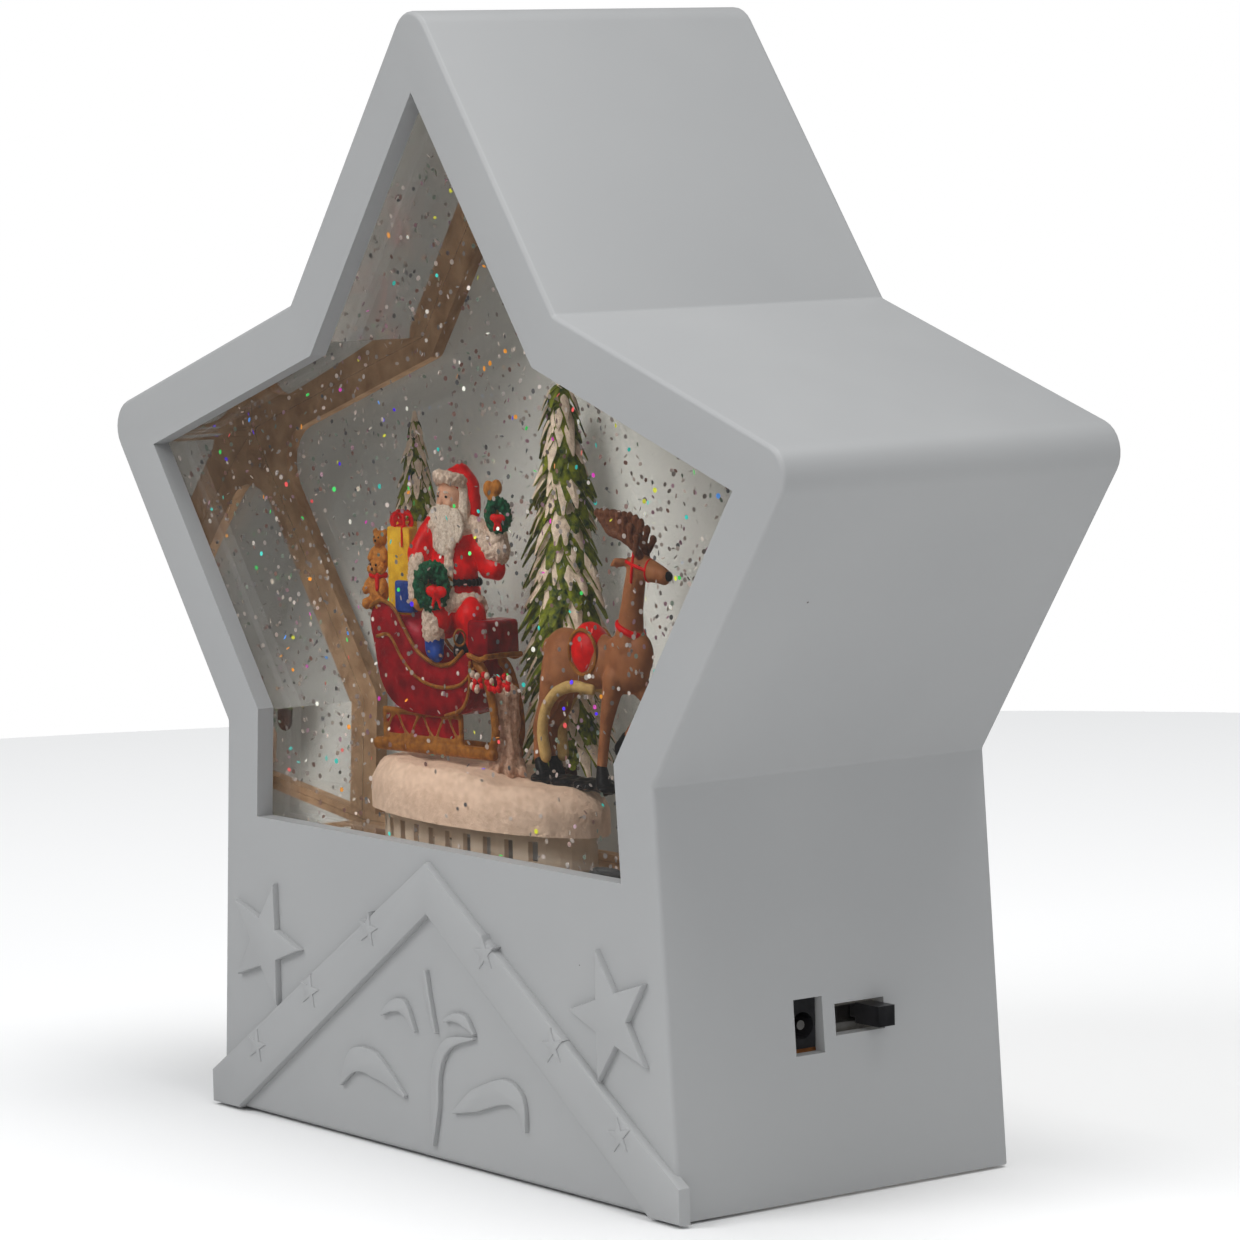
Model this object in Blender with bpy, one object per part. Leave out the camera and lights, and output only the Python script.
"""Star-shaped glitter water lantern with a winter sleigh scene inside.

A star housing stands on a flat base. Its front bezel frames a clear, liquid-filled tank that
holds the scene. A motor in the base turns a magnet under the tank floor, and that magnet
turns an impeller inside the tank. Batteries or a plugged-in adapter feed a small circuit
board, whose slide switch and power jack show in the base's right side.

Frame: +X to the right seen from the front, +Y to the back, +Z up. The origin is on the
surface it stands on, below the middle of its bounding box. Lengths below are in millimetres.
"""

import math

import bmesh
import bpy
from mathutils import Matrix, Vector

MM = 0.001
GAP = 0.3

# Housing: a five-pointed star whose two lower points merge into a flared base.
STAR_CENTRE_Z = 112.0
STAR_OUTER_R = 132.4
STAR_INNER_R = 82.3
BASE_HALF_WIDTH = 84.2
TIP_ROUND = 6.5
SHELL_BOTTOM_Z = 0.6
FRONT_Y = -41.4
BACK_Y = 43.7
WALL = 3.0
BEZEL_THICK = 4.0
BEZEL_WIDTH = 12.5
WINDOW_BOTTOM_Z = 66.4

# Relief on the base's front.
BAND_PROUD = 1.8
BAND_STAR_PROUD = 2.3
LARGE_STAR_PROUD = 1.5
LEAF_PROUD = 1.2
BAND_OUTER_APEX_Z = 63.6
BAND_INNER_APEX_Z = 52.5
BAND_END_X = 86.4
BAND_END_TOP_Z = 8.0
BAND_INNER_END_X = 76.0
LARGE_STAR_X = 63.8
LARGE_STAR_Z = 39.0
LARGE_STAR_R = 14.0
BAND_STARS = ((21.5, 47.0), (45.0, 30.8), (67.2, 15.8))
BAND_STAR_R = 3.6

# Back cover, its screws and its battery door.
COVER_THICK = 3.0
COVER_OUTER_Y = 43.2
COVER_INNER_Y = COVER_OUTER_Y - COVER_THICK
BOSS_R = 6.2
BOSS_FRONT_Y = 22.0
SCREW_HOLE_R = 1.5
SCREW_R = 1.15
SCREW_HEAD_R = 3.0
SCREW_LENGTH = 12.0
DOOR_HALF_WIDTH = 31.2
DOOR_LOW_Z = 7.0
DOOR_HIGH_Z = 55.2
DOOR_THICK = 1.8
DOOR_HINGE_Z = DOOR_LOW_Z + DOOR_THICK / 2
DOOR_HINGE_Y = COVER_OUTER_Y - GAP - DOOR_THICK / 2

# Tank.
TANK_INSET = 7.0
TANK_WALL = 2.5
TANK_FLOOR_Z = 60.0
TANK_FLOOR_TOP_Z = TANK_FLOOR_Z + TANK_WALL
PANEL_FRONT_Y = FRONT_Y + BEZEL_THICK + GAP
PANEL_THICK = 3.0
SEAL_THICK = 0.8
SEAL_FRONT_Y = PANEL_FRONT_Y + PANEL_THICK + GAP
TUB_FRONT_Y = SEAL_FRONT_Y + SEAL_THICK + GAP
TUB_BACK_Y = 20.0
PLUG_X = 36.0
PLUG_Y = -10.0

# Drive train, on one vertical axis under and inside the tank.
DRIVE_X = 0.0
DRIVE_Y = -9.0
BRIDGE_Z = 48.0
MOTOR_R = 12.0
MOTOR_HEIGHT = 20.0
SHAFT_R = 1.0
CARRIER_R = 14.0
MAGNET_R = 4.0
MAGNET_OFFSET = 8.0

# Winter scene.
GROUND_X = -6.6
GROUND_Y = -8.0
GROUND_HALF_LENGTH = 40.8
GROUND_HALF_DEPTH = 24.0
GROUND_BOTTOM_Z = 70.0
GROUND_TOP_Z = 79.5
SLEIGH_X = -19.0
SLEIGH_Y = -9.5
SLEIGH_HALF_LENGTH = 20.0
SLEIGH_HALF_WIDTH = 8.0
RUNNER_THICK = 1.6
TALL_TREE = (10.2, 8.2)
SMALL_TREE = (-41.9, 6.5)
REINDEER_Y = -4.5

# Controls on the base's right side.
BOARD_TOP_Z = 30.2
BOARD_THICK = 1.2
JACK_Y = (-9.4, -2.9)
JACK_Z = (BOARD_TOP_Z + GAP, 40.6)
JACK_CUT_Y = (-9.8, -2.5)
JACK_CUT_Z = (29.6, 41.0)
SWITCH_SLOT_Y = (0.6, 13.3)
SWITCH_SLOT_Z = (32.6, 39.0)
KNOB_SIZE = 4.2
KNOB_CENTRE_Z = 35.8


def base_side_x(z):
    """Outer face of the right base side at a height."""
    waist_x, waist_z = on_circle(STAR_INNER_R, -18)
    return BASE_HALF_WIDTH + (waist_x - BASE_HALF_WIDTH) * z / waist_z


def on_circle(radius, degrees):
    angle = math.radians(degrees)
    return radius * math.cos(angle), STAR_CENTRE_Z + radius * math.sin(angle)


def star_corners(bottom_z=SHELL_BOTTOM_Z):
    """Sharp corners of the housing's outline, anticlockwise seen from the front."""
    right = [
        (base_side_x(bottom_z), bottom_z),
        on_circle(STAR_INNER_R, -18),
        on_circle(STAR_OUTER_R, 18),
        on_circle(STAR_INNER_R, 54),
    ]
    left = [(-x, z) for x, z in reversed(right)]
    return right + [on_circle(STAR_OUTER_R, 90)] + left


def inset(corners, distance):
    """Moves every edge of an anticlockwise outline inwards by a distance."""
    edges = []
    for start, end in zip(corners, corners[1:] + corners[:1]):
        direction = (Vector(end) - Vector(start)).normalized()
        inward = Vector((-direction.y, direction.x))
        edges.append((Vector(start) + inward * distance, direction))
    moved = []
    for (p, d), (q, e) in zip(edges[-1:] + edges[:-1], edges):
        along = ((q - p).x * e.y - (q - p).y * e.x) / (d.x * e.y - d.y * e.x)
        moved.append(tuple(p + d * along))
    return moved


def clipped_below(corners, bottom_z):
    """Cuts the base off an outline that starts and ends at its bottom corners."""
    (low_x, low_z), (waist_x, waist_z) = corners[0], corners[1]
    x = low_x + (waist_x - low_x) * (bottom_z - low_z) / (waist_z - low_z)
    return [(x, bottom_z)] + corners[1:-1] + [(-x, bottom_z)]


def rounded(corners, radius, steps=4):
    """Rounds the three star tips of an outline: the corners at 2, 4 and 6."""
    outline = []
    for index, corner in enumerate(corners):
        if index not in (2, 4, 6):
            outline.append(corner)
            continue
        here = Vector(corner)
        to_last = (Vector(corners[index - 1]) - here).normalized()
        to_next = (Vector(corners[index + 1]) - here).normalized()
        half = to_last.angle(to_next) / 2
        centre = here + (to_last + to_next).normalized() * radius / math.sin(half)
        spoke = here + to_last * radius / math.tan(half) - centre
        sweep = math.pi - 2 * half
        for step in range(steps + 1):
            turn = Matrix.Rotation(sweep * step / steps, 2)
            outline.append(tuple(centre + turn @ spoke))
    return outline


def five_point_star(x, z, radius, first_degrees=90, waist=0.42):
    """Outline of a small ornament star."""
    outline = []
    for step in range(10):
        reach = radius if step % 2 == 0 else radius * waist
        angle = math.radians(first_degrees + 36 * step)
        outline.append((x + reach * math.cos(angle), z + reach * math.sin(angle)))
    return outline


def ellipse(x, z, long_r, short_r, tilt_degrees, steps=12):
    """Outline of a leaf: an ellipse turned by its tilt."""
    tilt = math.radians(tilt_degrees)
    outline = []
    for step in range(steps):
        angle = math.tau * step / steps
        u = long_r * math.cos(angle)
        v = short_r * math.sin(angle)
        outline.append((x + u * math.cos(tilt) - v * math.sin(tilt),
                        z + u * math.sin(tilt) + v * math.cos(tilt)))
    return outline


MATERIALS = {
    "white_plastic": ((0.62, 0.62, 0.61), 0.55, 0.0),
    "grey_plastic": ((0.45, 0.44, 0.42), 0.55, 0.0),
    "black_plastic": ((0.02, 0.02, 0.02), 0.4, 0.0),
    "clear_plastic": ((0.85, 0.88, 0.88), 0.05, 0.0),
    "black_rubber": ((0.03, 0.03, 0.03), 0.8, 0.0),
    "steel": ((0.6, 0.6, 0.6), 0.3, 1.0),
    "board": ((0.45, 0.2, 0.06), 0.6, 0.0),
    "copper_wire": ((0.5, 0.05, 0.04), 0.5, 0.0),
    "magnet": ((0.3, 0.3, 0.32), 0.4, 1.0),
    "snow": ((0.85, 0.78, 0.75), 0.7, 0.0),
    "sleigh_red": ((0.45, 0.03, 0.04), 0.4, 0.0),
    "golden": ((0.55, 0.33, 0.1), 0.45, 0.0),
    "coat_red": ((0.62, 0.03, 0.03), 0.5, 0.0),
    "skin": ((0.75, 0.5, 0.38), 0.5, 0.0),
    "gift_paint": ((0.7, 0.45, 0.08), 0.5, 0.0),
    "blue_paint": ((0.05, 0.15, 0.5), 0.5, 0.0),
    "brown_paint": ((0.25, 0.11, 0.05), 0.55, 0.0),
    "teddy_paint": ((0.5, 0.22, 0.07), 0.6, 0.0),
    "tree_green": ((0.05, 0.14, 0.07), 0.6, 0.0),
}


def material(name):
    found = bpy.data.materials.get(name)
    if found:
        return found
    colour, roughness, metallic = MATERIALS[name]
    made = bpy.data.materials.new(name)
    made.use_nodes = True
    shader = made.node_tree.nodes["Principled BSDF"]
    shader.inputs["Base Color"].default_value = (*colour, 1.0)
    shader.inputs["Roughness"].default_value = roughness
    shader.inputs["Metallic"].default_value = metallic
    return made


def finish(name, shape, surface, pivot=(0.0, 0.0, 0.0)):
    """Makes an object of a bmesh given in millimetres, with its origin at the pivot."""
    bmesh.ops.recalc_face_normals(shape, faces=shape.faces)
    bmesh.ops.translate(shape, vec=-Vector(pivot), verts=shape.verts)
    bmesh.ops.scale(shape, vec=(MM, MM, MM), verts=shape.verts)
    mesh = bpy.data.meshes.new(name)
    shape.to_mesh(mesh)
    shape.free()
    mesh.shade_smooth()
    mesh.set_sharp_from_angle(angle=math.radians(35))
    made = bpy.data.objects.new(name, mesh)
    made.location = Vector(pivot) * MM
    made.data.materials.append(material(surface))
    bpy.context.scene.collection.objects.link(made)
    return made


def prism(outline, start, end, axis="Y"):
    """A bmesh of an outline pushed along an axis. Y takes (x, z) points, X (y, z), Z (x, y)."""
    place = {"X": lambda p, d: (d, p[0], p[1]),
             "Y": lambda p, d: (p[0], d, p[1]),
             "Z": lambda p, d: (p[0], p[1], d)}[axis]
    shape = bmesh.new()
    near = [shape.verts.new(place(point, start)) for point in outline]
    far = [shape.verts.new(place(point, end)) for point in outline]
    shape.faces.new(near)
    shape.faces.new(reversed(far))
    count = len(outline)
    for index in range(count):
        after = (index + 1) % count
        shape.faces.new((near[index], far[index], far[after], near[after]))
    return shape


def block(low, high):
    return prism([(low[0], low[1]), (high[0], low[1]), (high[0], high[1]), (low[0], high[1])],
                 low[2], high[2], "Z")


def turned(profile, centre=(0.0, 0.0, 0.0), axis="Z", sides=20, stretch=(1.0, 1.0)):
    """A solid of revolution from (radius, height) pairs, closed at both ends."""
    shape = bmesh.new()
    rings = []
    for radius, height in profile:
        ring = []
        for step in range(sides):
            angle = math.tau * step / sides
            ring.append(shape.verts.new((radius * stretch[0] * math.cos(angle),
                                         radius * stretch[1] * math.sin(angle), height)))
        rings.append(ring)
    for lower, upper in zip(rings, rings[1:]):
        for step in range(sides):
            after = (step + 1) % sides
            shape.faces.new((lower[step], lower[after], upper[after], upper[step]))
    shape.faces.new(rings[0])
    shape.faces.new(reversed(rings[-1]))
    turn = {"Z": Matrix(), "Y": Matrix.Rotation(math.radians(-90), 4, "X"),
            "X": Matrix.Rotation(math.radians(90), 4, "Y")}[axis]
    bmesh.ops.transform(shape, matrix=Matrix.Translation(centre) @ turn, verts=shape.verts)
    return shape


def rod(start, end, radius, sides=20, end_radius=None):
    """A straight round bar between two points, which may taper."""
    start, end = Vector(start), Vector(end)
    shape = turned([(radius, 0.0), (end_radius or radius, (end - start).length)], sides=sides)
    turn = (end - start).to_track_quat("Z", "Y").to_matrix().to_4x4()
    bmesh.ops.transform(shape, matrix=Matrix.Translation(start) @ turn, verts=shape.verts)
    return shape


def ball(centre, radii, rings=7, sides=12):
    """An ellipsoid of latitude rings with small flat poles."""
    profile = []
    for step in range(rings):
        angle = math.radians(-80 + 160 * step / (rings - 1))
        profile.append((math.cos(angle), math.sin(angle)))
    shape = turned(profile, sides=sides)
    bmesh.ops.scale(shape, vec=radii, verts=shape.verts)
    bmesh.ops.translate(shape, vec=centre, verts=shape.verts)
    return shape


def shape_modifier(target, shape, operation):
    """Adds or cuts a helper shape with a Boolean that stays on the target."""
    name = f"{target.name}_{operation.lower()}_{len(target.modifiers):02d}"
    helper = finish(name, shape, "grey_plastic")
    helper.hide_render = True
    helper.display_type = "WIRE"
    modifier = target.modifiers.new(name, "BOOLEAN")
    modifier.operation = operation
    modifier.object = helper
    modifier.solver = "EXACT"


def add(target, *shapes):
    for shape in shapes:
        shape_modifier(target, shape, "UNION")


def cut(target, *shapes):
    for shape in shapes:
        shape_modifier(target, shape, "DIFFERENCE")


# Housing


def boss_centres():
    """The five back-cover screws: three near the star's tips, two low in the base."""
    reach = STAR_OUTER_R - 14.5
    centres = [on_circle(reach, degrees) for degrees in (18, 90, 162)]
    return centres + [(-74.5, 22.0), (74.5, 22.0)]


def relief():
    """Raised ornament on the base front, as shapes that start inside the bezel."""
    root_y = FRONT_Y + 1.0
    right = [(BAND_END_X, BAND_END_TOP_Z), (BAND_END_X, SHELL_BOTTOM_Z),
             (BAND_INNER_END_X, SHELL_BOTTOM_Z)]
    left = [(-x, z) for x, z in reversed(right)]
    band = [(0.0, BAND_OUTER_APEX_Z)] + right + [(0.0, BAND_INNER_APEX_Z)] + left
    yield prism(band, FRONT_Y - BAND_PROUD, root_y)
    for side in (-1, 1):
        for x, z in BAND_STARS:
            outline = five_point_star(side * x, z, BAND_STAR_R)
            yield prism(outline, FRONT_Y - BAND_STAR_PROUD, FRONT_Y - BAND_PROUD + 0.4)
        tilt = 0 if side < 0 else 36
        outline = five_point_star(side * LARGE_STAR_X, LARGE_STAR_Z, LARGE_STAR_R, tilt, 0.45)
        yield prism(outline, FRONT_Y - LARGE_STAR_PROUD, root_y)
        leaf = ellipse(side * 22.0, 14.5, 12.0, 4.0, side * 12.0)
        yield prism(leaf, FRONT_Y - LEAF_PROUD, root_y)
        curl = ellipse(side * 11.0, 29.5, 7.0, 2.6, side * -24.0)
        yield prism(curl, FRONT_Y - LEAF_PROUD, root_y)
    stem = [(-1.2, 3.5), (1.2, 3.5), (1.4, 40.0), (0.0, 41.5), (-1.4, 40.0)]
    yield prism(stem, FRONT_Y - LEAF_PROUD, root_y)


def front_shell():
    outer = rounded(star_corners(), TIP_ROUND)
    shell = finish("front_shell", prism(outer, FRONT_Y, BACK_Y), "white_plastic")
    hollow = clipped_below(inset(star_corners(), WALL), SHELL_BOTTOM_Z - 3.0)
    hollow = rounded(hollow, TIP_ROUND - WALL)
    window = clipped_below(inset(star_corners(), BEZEL_WIDTH), WINDOW_BOTTOM_Z)
    side_x = base_side_x(35.0)
    cut(shell, prism(hollow, FRONT_Y + BEZEL_THICK, BACK_Y + 5.0),
        prism(window, FRONT_Y - 5.0, FRONT_Y + BEZEL_THICK + 1.0),
        block((side_x - 8, JACK_CUT_Y[0], JACK_CUT_Z[0]),
              (side_x + 5, JACK_CUT_Y[1], JACK_CUT_Z[1])),
        block((side_x - 8, SWITCH_SLOT_Y[0], SWITCH_SLOT_Z[0]),
              (side_x + 5, SWITCH_SLOT_Y[1], SWITCH_SLOT_Z[1])))
    for x, z in boss_centres():
        add(shell, rod((x, BOSS_FRONT_Y, z), (x, COVER_INNER_Y - GAP, z), BOSS_R, 16))
    for side in (-1, 1):
        wall_x = side * (base_side_x(10.0) - 1.0)
        near_x = side * 70.0
        low_x, high_x = min(wall_x, near_x), max(wall_x, near_x)
        add(shell, block((low_x, -5.0, 4.2), (high_x, 5.0, 16.0)))
        wall_x = side * (base_side_x(58.0) - 1.0)
        near_x = side * 60.0
        low_x, high_x = min(wall_x, near_x), max(wall_x, near_x)
        add(shell, block((low_x, FRONT_Y + 2.0, 57.0), (high_x, 15.0, TANK_FLOOR_Z - GAP)))
    add(shell, *relief())
    for x, z in boss_centres():
        cut(shell, rod((x, 27.0, z), (x, COVER_INNER_Y + 2.0, z), SCREW_HOLE_R, 12))
    for side in (-1, 1):
        cut(shell, rod((side * 74.0, 0.0, 2.0), (side * 74.0, 0.0, 14.0), SCREW_HOLE_R, 12))
    return shell


def back_cover():
    outline = clipped_below(inset(star_corners(), WALL + GAP), 0.9)
    cover = finish("back_cover", prism(rounded(outline, TIP_ROUND - WALL), COVER_INNER_Y,
                                       COVER_OUTER_Y), "white_plastic")
    recess = DOOR_HALF_WIDTH + GAP
    hinge = (DOOR_HINGE_Y, DOOR_HINGE_Z)
    cut(cover, block((-recess, hinge[0] - DOOR_THICK / 2 - 0.6, DOOR_LOW_Z - 0.5),
                     (recess, COVER_OUTER_Y + 2.0, DOOR_HIGH_Z + GAP)),
        block((3.0 - recess, COVER_INNER_Y - 2.0, DOOR_LOW_Z + 3.0),
              (recess - 3.0, COVER_OUTER_Y, DOOR_HIGH_Z - 2.5)),
        rod((-recess - 2.0, *hinge), (recess + 2.0, *hinge), 0.8 + GAP, 12))
    for x, z in boss_centres():
        cut(cover, rod((x, COVER_INNER_Y - 2.0, z), (x, COVER_OUTER_Y, z), SCREW_HOLE_R, 12),
            rod((x, COVER_OUTER_Y - 2.0, z), (x, COVER_OUTER_Y + 2.0, z), SCREW_HEAD_R + 0.4, 16))


def battery_door():
    """Door on two pivot nubs along its bottom edge, with a finger notch at its top."""
    centre = (0.0, DOOR_HINGE_Y, DOOR_HINGE_Z)
    shape = block((-DOOR_HALF_WIDTH, centre[1] - DOOR_THICK / 2, DOOR_LOW_Z),
                  (DOOR_HALF_WIDTH, centre[1] + DOOR_THICK / 2, DOOR_HIGH_Z))
    door = finish("battery_door", shape, "white_plastic", pivot=centre)
    nub = DOOR_HALF_WIDTH + 1.6
    add(door, rod((-nub, centre[1], centre[2]), (nub, centre[1], centre[2]), 0.8, 12))
    cut(door, rod((0.0, centre[1] - 3.0, DOOR_HIGH_Z + 2.0),
                  (0.0, centre[1] + 3.0, DOOR_HIGH_Z + 2.0), 7.0, 24))


def cover_screws():
    for index, (x, z) in enumerate(boss_centres(), start=1):
        head_y = COVER_OUTER_Y - 2.0 + GAP
        profile = [(SCREW_R, -SCREW_LENGTH), (SCREW_R, 0.0), (SCREW_HEAD_R, 0.0),
                   (SCREW_HEAD_R, 1.0), (SCREW_HEAD_R * 0.7, 1.5)]
        shape = turned(profile, sides=16)
        turn = Matrix.Translation((x, head_y, z)) @ Matrix.Rotation(math.radians(-90), 4, "X")
        bmesh.ops.transform(shape, matrix=turn, verts=shape.verts)
        finish(f"cover_screw_{index}", shape, "steel", pivot=(x, head_y, z))


FEET = ((-62.0, -26.0), (62.0, -26.0), (62.0, 29.0), (-62.0, 29.0))
FOOT_R = 6.0
PLATE_LOW_Z = 1.4
PLATE_HIGH_Z = 3.9


def base_plate():
    half_x = base_side_x(PLATE_HIGH_Z) - WALL - GAP
    shape = block((-half_x, FRONT_Y + BEZEL_THICK + GAP, PLATE_LOW_Z),
                  (half_x, COVER_INNER_Y - GAP, PLATE_HIGH_Z))
    plate = finish("base_plate", shape, "white_plastic")
    for x, y in FEET:
        cut(plate, rod((x, y, 0.0), (x, y, 2.4), FOOT_R + GAP, 24))
    for side in (-1, 1):
        cut(plate, rod((side * 74.0, 0.0, 0.0), (side * 74.0, 0.0, 5.0), SCREW_HOLE_R, 12))
    # Four slots let the motor bay breathe.
    for x in (-12.0, -4.0, 4.0, 12.0):
        cut(plate, block((x - 1.2, -20.0, 0.0), (x + 1.2, 2.0, 5.0)))


def base_fittings():
    for index, (x, y) in enumerate(FEET, start=1):
        profile = [(FOOT_R - 0.5, 0.0), (FOOT_R, 0.5), (FOOT_R, 2.1)]
        finish(f"rubber_foot_{index}", turned(profile, (x, y, 0.0), sides=24), "black_rubber")
    for index, x in enumerate((-74.0, 74.0), start=1):
        head = PLATE_LOW_Z - GAP
        profile = [(2.0, head - 0.7), (2.3, head), (SCREW_R, head), (SCREW_R, 13.0)]
        finish(f"base_screw_{index}", turned(profile, (x, 0.0, 0.0), sides=16), "steel")


# Tank


def tank_outline(distance):
    return clipped_below(inset(star_corners(), distance), TANK_FLOOR_Z)


def tank():
    outer = rounded(tank_outline(TANK_INSET), 3.0)
    tub = finish("tank_tub", prism(outer, TUB_FRONT_Y, TUB_BACK_Y), "clear_plastic")
    hollow = inset(star_corners(), TANK_INSET + TANK_WALL)
    hollow = rounded(clipped_below(hollow, TANK_FLOOR_TOP_Z), 1.5)
    cut(tub, prism(hollow, TUB_FRONT_Y - 5.0, TUB_BACK_Y - TANK_WALL),
        rod((PLUG_X, PLUG_Y, TANK_FLOOR_Z - 3.0), (PLUG_X, PLUG_Y, TANK_FLOOR_TOP_Z + 3.0), 5.0))

    finish("tank_front_panel", prism(outer, PANEL_FRONT_Y, PANEL_FRONT_Y + PANEL_THICK),
           "clear_plastic")

    seal = finish("tank_seal", prism(outer, SEAL_FRONT_Y, SEAL_FRONT_Y + SEAL_THICK),
                  "clear_plastic")
    cut(seal, prism(hollow, SEAL_FRONT_Y - 5.0, SEAL_FRONT_Y + 5.0))

    low_z = TANK_FLOOR_Z - GAP - 2.4
    plug = [(7.0, low_z), (7.0, TANK_FLOOR_Z - GAP), (4.6, TANK_FLOOR_Z - GAP),
            (4.6, TANK_FLOOR_TOP_Z + 0.6), (3.8, TANK_FLOOR_TOP_Z + 1.4)]
    finish("fill_plug", turned(plug, (PLUG_X, PLUG_Y, 0.0)), "black_rubber")


# Drive train


def at_drive(profile, sides=20):
    return turned(profile, (DRIVE_X, DRIVE_Y, 0.0), sides=sides)


def motor_bracket():
    """Bridge that stands on the base plate and hangs the motor under its deck."""
    low, high = DRIVE_Y - 15.0, DRIVE_Y + 13.0
    outline = [(-46.0, PLATE_HIGH_Z + GAP), (-40.0, PLATE_HIGH_Z + GAP), (-40.0, BRIDGE_Z),
               (40.0, BRIDGE_Z), (40.0, PLATE_HIGH_Z + GAP), (46.0, PLATE_HIGH_Z + GAP),
               (46.0, BRIDGE_Z + 2.0), (-46.0, BRIDGE_Z + 2.0)]
    bracket = finish("motor_bracket", prism(outline, low, high), "grey_plastic")
    cut(bracket, rod((DRIVE_X, DRIVE_Y, BRIDGE_Z - 3.0), (DRIVE_X, DRIVE_Y, BRIDGE_Z + 5.0), 3.2))


def drive():
    pivot = (DRIVE_X, DRIVE_Y, 0.0)
    can_top = BRIDGE_Z - GAP
    finish("motor_can", at_drive([(MOTOR_R - 1.0, can_top - MOTOR_HEIGHT),
                                  (MOTOR_R, can_top - MOTOR_HEIGHT + 1.0),
                                  (MOTOR_R, can_top)], 24), "steel")
    shaft_top = 53.5
    finish("motor_shaft", at_drive([(SHAFT_R, can_top + GAP), (SHAFT_R, shaft_top)], 16),
           "steel", pivot)
    low, high = 51.0, 56.0
    carrier = finish("magnet_carrier", at_drive([(CARRIER_R, low), (CARRIER_R, high)], 28),
                     "black_plastic", pivot)
    cut(carrier, rod((DRIVE_X, DRIVE_Y, low - 2.0), (DRIVE_X, DRIVE_Y, shaft_top + GAP),
                     SHAFT_R + GAP, 16))
    for index, offset in enumerate((-MAGNET_OFFSET, MAGNET_OFFSET), start=1):
        disc = turned([(MAGNET_R, high + GAP), (MAGNET_R, 59.0)],
                      (DRIVE_X + offset, DRIVE_Y, 0.0))
        finish(f"drive_magnet_{index}", disc, "magnet", pivot)


def impeller():
    """Six-bladed paddle over a ring magnet, on a pin that stands on the tank floor."""
    pivot = (DRIVE_X, DRIVE_Y, 0.0)
    low, high = TANK_FLOOR_TOP_Z + 0.7, TANK_FLOOR_TOP_Z + 4.7
    finish("impeller_pin", at_drive([(1.2, TANK_FLOOR_TOP_Z + GAP), (1.2, high + 1.2)], 12),
           "steel")
    wheel = finish("impeller", at_drive([(9.0, low), (9.0, high)], 24), "white_plastic", pivot)
    for index in range(6):
        angle = math.tau * index / 6
        blade = block((8.0, -0.7, low), (15.0, 0.7, high - 0.4))
        turn = Matrix.Translation(pivot) @ Matrix.Rotation(angle, 4, "Z")
        bmesh.ops.transform(blade, matrix=turn, verts=blade.verts)
        add(wheel, blade)
    cut(wheel, rod((DRIVE_X, DRIVE_Y, low - 2.0), (DRIVE_X, DRIVE_Y, low + 2.4), 7.5, 24),
        rod((DRIVE_X, DRIVE_Y, low - 2.0), (DRIVE_X, DRIVE_Y, high + 2.0), 1.6, 12))
    ring = finish("impeller_magnet", at_drive([(7.2, low), (7.2, low + 2.0)], 24), "magnet", pivot)
    cut(ring, rod((DRIVE_X, DRIVE_Y, low - 2.0), (DRIVE_X, DRIVE_Y, low + 4.0), 2.0, 12))


# Electrics


def electrics():
    board_low = BOARD_TOP_Z - BOARD_THICK
    side_x = base_side_x(35.0)
    finish("main_board", block((46.9, -17.0, board_low), (77.6, 20.0, BOARD_TOP_Z)), "board")

    jack = finish("dc_jack", block((67.0, JACK_Y[0], JACK_Z[0]), (79.6, JACK_Y[1], JACK_Z[1])),
                  "black_plastic")
    centre_y = (JACK_Y[0] + JACK_Y[1]) / 2
    cut(jack, rod((70.5, centre_y, 35.2), (82.0, centre_y, 35.2), 2.75, 20))
    finish("dc_jack_pin", rod((70.9, centre_y, 35.2), (79.0, centre_y, 35.2), 1.0, 12), "steel")

    slot_y = SWITCH_SLOT_Y
    switch = finish("slide_switch_body",
                    block((69.0, slot_y[0] - 1.4, BOARD_TOP_Z + GAP), (77.4, slot_y[1] + 1.6, 37.6)),
                    "steel")
    cut(switch, block((75.0, slot_y[0] - 0.2, KNOB_CENTRE_Z - 1.7),
                      (79.0, slot_y[1] + 0.2, KNOB_CENTRE_Z + 1.7)))
    half = KNOB_SIZE / 2
    knob_y = slot_y[1] - 0.4 - half
    stem = block((75.4, knob_y - 1.3, KNOB_CENTRE_Z - 1.3), (80.0, knob_y + 1.3, KNOB_CENTRE_Z + 1.3))
    knob = finish("switch_knob", stem, "black_plastic", pivot=(side_x, knob_y, KNOB_CENTRE_Z))
    add(knob, block((78.0, knob_y - half, KNOB_CENTRE_Z - half),
                    (side_x + 3.8, knob_y + half, KNOB_CENTRE_Z + half)))

    deck = BRIDGE_Z + 2.0 + GAP
    finish("led_board", block((-42.0, DRIVE_Y - 9.0, deck), (-20.0, DRIVE_Y + 9.0, deck + 1.2)),
           "board")
    low = deck + 1.2 + GAP
    profile = [(2.9, low), (2.9, low + 1.0), (2.5, low + 1.0), (2.5, low + 4.5), (1.6, low + 6.2)]
    finish("led", turned(profile, (-31.0, DRIVE_Y, 0.0)), "clear_plastic")


CELL_PITCH = 15.0
TRAY_FRONT_Y = 20.5
TRAY_LOW_Z = 7.5


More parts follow.
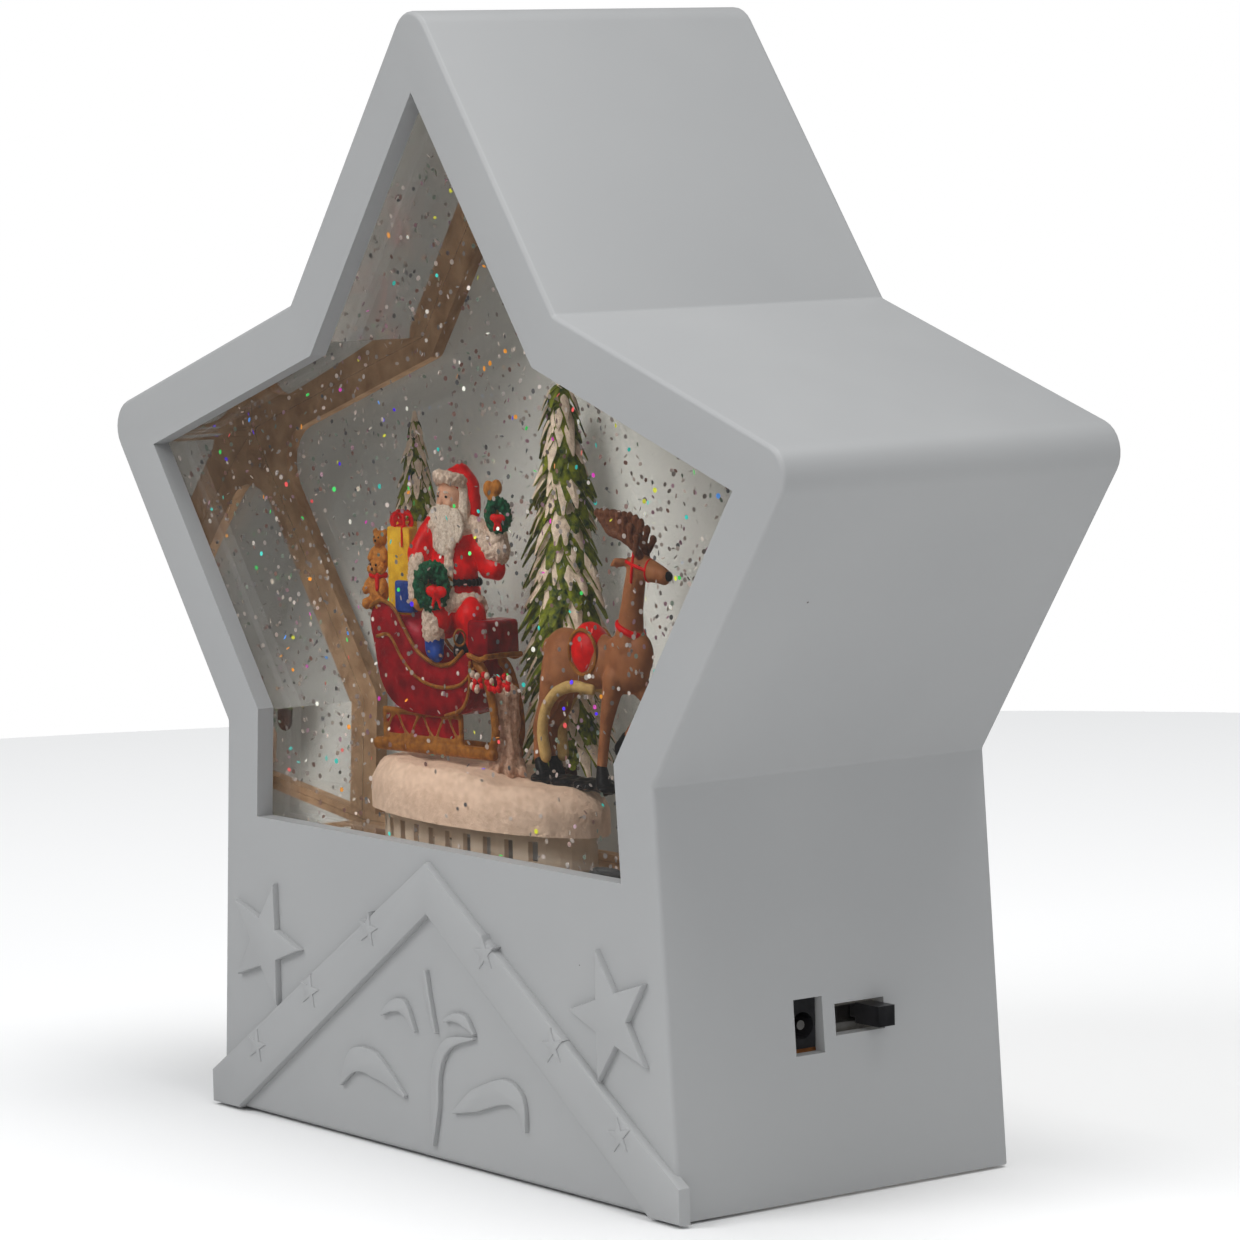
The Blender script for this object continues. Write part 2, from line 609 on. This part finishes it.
def battery_tray():
    """Open box for three cells that lie along X, one above the other, behind the door."""
    back_y = COVER_INNER_Y - GAP
    high_z = TRAY_LOW_Z + 3 * CELL_PITCH + 3.0
    tray = finish("battery_tray", block((-31.5, TRAY_FRONT_Y, TRAY_LOW_Z), (31.5, back_y, high_z)),
                  "grey_plastic")
    cut(tray, block((-29.7, TRAY_FRONT_Y + 1.5, TRAY_LOW_Z + 1.5),
                    (29.7, back_y + 3.0, high_z - 1.5)))
    middle_y = (TRAY_FRONT_Y + 1.5 + back_y) / 2
    for index in range(3):
        z = TRAY_LOW_Z + 1.5 + CELL_PITCH * (index + 0.5)
        spring_side = -1 if index % 2 == 0 else 1
        wall_x = spring_side * (29.7 - GAP)
        contact_spring(f"contact_spring_{index + 1}", wall_x, middle_y, z, -spring_side)
        low_x = min(-wall_x, -wall_x + 0.5 * spring_side)
        shape = block((low_x, middle_y - 5.0, z - 5.0), (low_x + 0.5, middle_y + 5.0, z + 5.0))
        finish(f"contact_plate_{index + 1}", shape, "steel")


def contact_spring(name, wall_x, y, z, inward):
    """Conical battery spring: a wire helix that narrows away from its wall."""
    turns, steps_per_turn, wire_r = 3.0, 12, 0.4
    curve = bpy.data.curves.new(name, "CURVE")
    curve.dimensions = "3D"
    curve.bevel_depth = wire_r * MM
    curve.bevel_resolution = 1
    curve.use_fill_caps = True
    spline = curve.splines.new("POLY")
    count = int(turns * steps_per_turn) + 1
    spline.points.add(count - 1)
    for step in range(count):
        share = step / (count - 1)
        angle = math.tau * turns * share
        radius = 5.0 - 2.4 * share
        along = wall_x + inward * (wire_r + 0.1 + 5.5 * share)
        point = (along, y + radius * math.cos(angle), z + radius * math.sin(angle))
        spline.points[step].co = (*(Vector(point) * MM), 1.0)
    made = bpy.data.objects.new(name, curve)
    made.data.materials.append(material("steel"))
    bpy.context.scene.collection.objects.link(made)


def lead(name, corners, radius=0.9):
    """An insulated wire along a smooth curve through its route points."""
    curve = bpy.data.curves.new(name, "CURVE")
    curve.dimensions = "3D"
    curve.bevel_depth = radius * MM
    curve.bevel_resolution = 1
    curve.use_fill_caps = True
    route = [Vector(corner) for corner in corners]
    padded = [route[0] * 2 - route[1]] + route + [route[-1] * 2 - route[-2]]
    points = []
    for a, b, c, d in zip(padded, padded[1:], padded[2:], padded[3:]):
        for step in range(6):
            t = step / 6
            points.append(0.5 * (2 * b + (c - a) * t + (2 * a - 5 * b + 4 * c - d) * t * t
                                 + (3 * b - a - 3 * c + d) * t ** 3))
    points.append(route[-1])
    spline = curve.splines.new("POLY")
    spline.points.add(len(points) - 1)
    for slot, point in zip(spline.points, points):
        slot.co = (*(point * MM), 1.0)
    made = bpy.data.objects.new(name, curve)
    made.data.materials.append(material("copper_wire"))
    bpy.context.scene.collection.objects.link(made)


def leads():
    lead("battery_lead", [(31.9, 30.0, 12.0), (40.0, 29.0, 14.0), (52.0, 22.0, 20.0),
                          (58.0, 12.0, 26.0), (58.0, 10.0, 28.6)])
    lead("motor_lead", [(52.0, -6.0, 28.6), (51.5, -8.0, 22.0), (49.0, -10.0, 10.0),
                        (44.0, -30.0, 7.0), (20.0, -30.0, 8.0), (6.0, -24.0, 22.0),
                        (5.0, -21.6, 30.0)])


# Winter scene inside the tank


def grille_outline(grow, steps=40):
    points = []
    for step in range(steps):
        angle = math.tau * step / steps
        points.append((GROUND_X + (36.0 + grow) * math.cos(angle),
                       GROUND_Y + (19.5 + grow) * math.sin(angle)))
    return points


def ground():
    """Snowy mound on a slotted ring that lets the impeller draw liquid through."""
    low, high = TANK_FLOOR_TOP_Z + GAP, GROUND_BOTTOM_Z - GAP
    ring = finish("impeller_grille", prism(grille_outline(0.0), low, high, "Z"), "clear_plastic")
    cut(ring, prism(grille_outline(-2.0), low - 3.0, high + 3.0, "Z"))
    for index in range(9):
        x = GROUND_X + (index - 4) * 6.5
        cut(ring, block((x - 1.2, GROUND_Y - 40.0, low + 1.5), (x + 1.2, GROUND_Y + 40.0, high - 1.2)))

    profile = [(0.97, GROUND_BOTTOM_Z), (1.0, 73.0), (0.96, 76.5), (0.84, 78.8),
               (0.6, GROUND_TOP_Z)]
    mound = turned(profile, (GROUND_X, GROUND_Y, 0.0), sides=32,
                   stretch=(GROUND_HALF_LENGTH, GROUND_HALF_DEPTH))
    finish("snow_ground", mound, "snow")


def sleigh():
    """Tub with a tall back and a curled front, on two thin runners."""
    x0, y0 = SLEIGH_X, SLEIGH_Y
    back, nose = x0 - SLEIGH_HALF_LENGTH, x0 + SLEIGH_HALF_LENGTH
    outline = [(back + 4.0, 88.5), (nose - 6.0, 88.5), (nose - 1.0, 94.0), (nose - 1.5, 101.0),
               (nose + 1.0, 108.0), (nose + 0.5, 112.0), (nose - 5.0, 111.0), (nose - 7.5, 104.0),
               (nose - 14.0, 101.5), (back + 12.0, 103.0), (back + 5.0, 112.0),
               (back - 1.0, 113.0), (back - 2.0, 104.0)]
    tub = finish("sleigh_body",
                 prism(outline, y0 - SLEIGH_HALF_WIDTH, y0 + SLEIGH_HALF_WIDTH), "sleigh_red")
    cut(tub, block((back + 7.0, y0 - 5.4, 92.0), (nose - 9.5, y0 + 5.4, 125.0)))

    foot = GROUND_TOP_Z + GAP
    rail = [(back - 4.0, foot + 4.5), (back - 2.5, foot), (nose - 4.0, foot),
            (nose + 2.0, foot + 4.0), (nose + 0.5, foot + 5.2), (nose - 5.0, foot + 2.2),
            (nose - 8.0, foot + 2.2), (nose - 9.0, 88.2), (back + 8.0, 88.2),
            (back + 6.0, foot + 2.2), (back - 1.5, foot + 2.2), (back - 2.5, foot + 5.0)]
    for name, side in (("runner_near", -1), ("runner_far", 1)):
        y = y0 + side * (SLEIGH_HALF_WIDTH - 2.0)
        finish(name, prism(rail, y - RUNNER_THICK / 2, y + RUNNER_THICK / 2), "golden")

    post = [(2.4, foot), (1.5, foot + 3.0), (1.3, 92.0), (1.9, 95.0)]
    finish("support_post", turned(post, (nose + 3.4, y0, 0.0), sides=12), "snow")


def driver():
    """Bearded driver in a fur-trimmed coat and hat, one arm raised."""
    x, y = SLEIGH_X + 3.0, SLEIGH_Y
    body = finish("driver_body", ball((x, y, 112.4), (9.5, 8.5, 19.7), 9, 14), "coat_red")
    for side, hand in ((-1, (x + 7.0, y - 12.0, 117.0)), (1, (x + 12.0, y + 7.0, 130.0))):
        add(body, rod((x, y + side * 5.0, 121.0), hand, 3.6, 10, 2.8))
    cut(body, block((x - 20.0, y - 20.0, 80.0), (x + 20.0, y + 20.0, 103.8)))
    add(body, block((x - 5.0, y - 4.2, 93.0), (x + 5.0, y + 4.2, 106.0)))
    head_z = 137.5
    finish("driver_head", ball((x + 1.0, y, head_z), (5.2, 5.0, 5.0), 7, 14), "skin")
    hat = [(5.0, head_z + 5.3), (5.2, head_z + 6.3), (3.4, head_z + 8.0), (1.0, head_z + 9.2)]
    finish("driver_hat", turned(hat, (x + 1.0, y, 0.0), sides=14), "coat_red")


def load():
    """Gift boxes and two teddy bears behind the driver."""
    back = SLEIGH_X - SLEIGH_HALF_LENGTH
    y = SLEIGH_Y
    seat = 113.6
    finish("gift_box", block((back + 1.0, y - 6.0, seat), (back + 11.5, y + 6.0, seat + 10.0)),
           "gift_paint")
    finish("gift_bag", block((back + 3.0, y + 0.4, seat + 10.3), (back + 11.0, y + 6.0, seat + 19.0)),
           "blue_paint")
    for index, (x, lift) in enumerate(((back - 3.0, 117.3), (back + 6.0, 128.5)), start=1):
        side_y = y - 3.6
        bear = finish(f"teddy_bear_{index}", ball((x, side_y, lift), (3.2, 3.4, 3.8)),
                      "teddy_paint")
        add(bear, ball((x, side_y - 0.4, lift + 5.4), (2.6, 2.7, 2.6)))


def reindeer():
    """Pulling reindeer: barrel body, raised neck and head, antlers, one lifted foreleg."""
    y = REINDEER_Y
    foot = GROUND_TOP_Z + GAP
    body = finish("reindeer", ball((23.0, y, 105.0), (15.5, 4.6, 7.0), 9, 14), "brown_paint")
    add(body, rod((31.0, y, 106.0), (41.0, y, 121.0), 4.6, 12, 3.2),
        ball((44.5, y, 122.0), (8.5, 3.0, 3.4), 7, 12))
    for side, x_top, knee, hoof in (
            (-1, 13.0, (9.5, 91.0), (13.5, foot)), (1, 14.0, (14.0, 91.0), (18.0, foot)),
            (-1, 33.0, (43.0, 98.0), (37.0, 87.0)), (1, 31.0, (31.5, 92.0), (30.5, foot))):
        leg_y = y + side * 2.6
        add(body, rod((x_top, leg_y, 103.0), (knee[0], leg_y, knee[1]), 2.6, 10, 1.4),
            rod((knee[0], leg_y, knee[1] + 0.8), (hoof[0], leg_y, hoof[1]), 1.4, 10, 1.2))
    for side in (-1, 1):
        top = (30.0, y + side * 6.0, 135.0)
        add(body, rod((41.0, y + side * 1.4, 123.5), top, 1.1, 8, 0.8))


def tree(name, place, height, radius, tiers, stretch=(1.0, 1.0)):
    """Stacked snowy tiers that shrink towards the tip, on a short trunk."""
    foot = GROUND_TOP_Z + GAP
    profile = [(radius * 0.22, foot), (radius * 0.22, foot + height * 0.1)]
    for index in range(tiers):
        share = index / tiers
        low = foot + height * (0.1 + 0.86 * share)
        profile.append((radius * (1.0 - 0.86 * share), low + 0.8))
        profile.append((radius * (0.62 - 0.55 * share), low + height * 0.8 / tiers))
    profile.append((0.4, foot + height))
    finish(name, turned(profile, (*place, 0.0), sides=12, stretch=stretch), "tree_green")


def trees():
    tree("tree_tall", TALL_TREE, 84.5, 9.8, 7, stretch=(1.38, 0.92))
    tree("tree_small", SMALL_TREE, 75.0, 6.8, 5)


def main():
    for old in list(bpy.data.objects):
        bpy.data.objects.remove(old, do_unlink=True)
    front_shell()
    back_cover()
    battery_door()
    cover_screws()
    base_plate()
    base_fittings()
    tank()
    motor_bracket()
    drive()
    impeller()
    electrics()
    battery_tray()
    leads()
    ground()
    sleigh()
    driver()
    load()
    reindeer()
    trees()


main()
